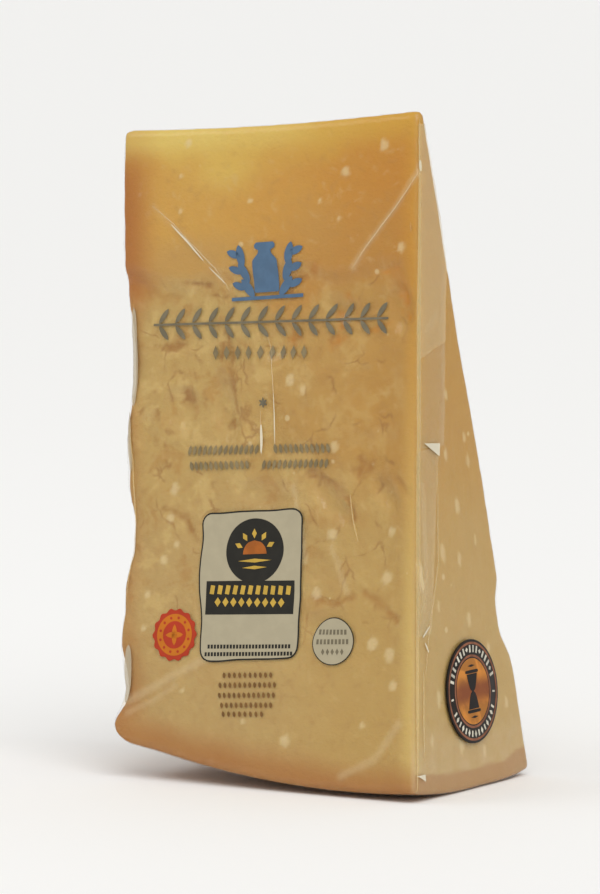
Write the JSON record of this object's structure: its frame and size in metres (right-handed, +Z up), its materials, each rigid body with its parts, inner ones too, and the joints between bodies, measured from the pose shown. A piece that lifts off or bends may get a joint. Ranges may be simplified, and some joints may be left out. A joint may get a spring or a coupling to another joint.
{
  "type": "parmesan chunk",
  "caption": "Tall wedge of aged hard cheese sealed in clear vacuum film, standing on its rind with the cut tip up and a round sticker on its cut side.",
  "frame": {"origin": "on the floor, under the centre of the chunk's box", "axes": "+Z up towards the cut tip, broken front face towards -Y, clean cut side with the sticker towards +X"},
  "size_m": [0.125, 0.0742, 0.2083],
  "materials": {
    "wrapped_cheese": "pale golden granular cheese seen through clinging clear film, glossy where the film is taut",
    "sticker_paper": "black foil sticker with copper rims and an orange metallic centre"
  },
  "bodies": {
    "root": {"packed_chunk": "wrapped_cheese", "round_sticker": "sticker_paper"}
  },
  "joints": []
}
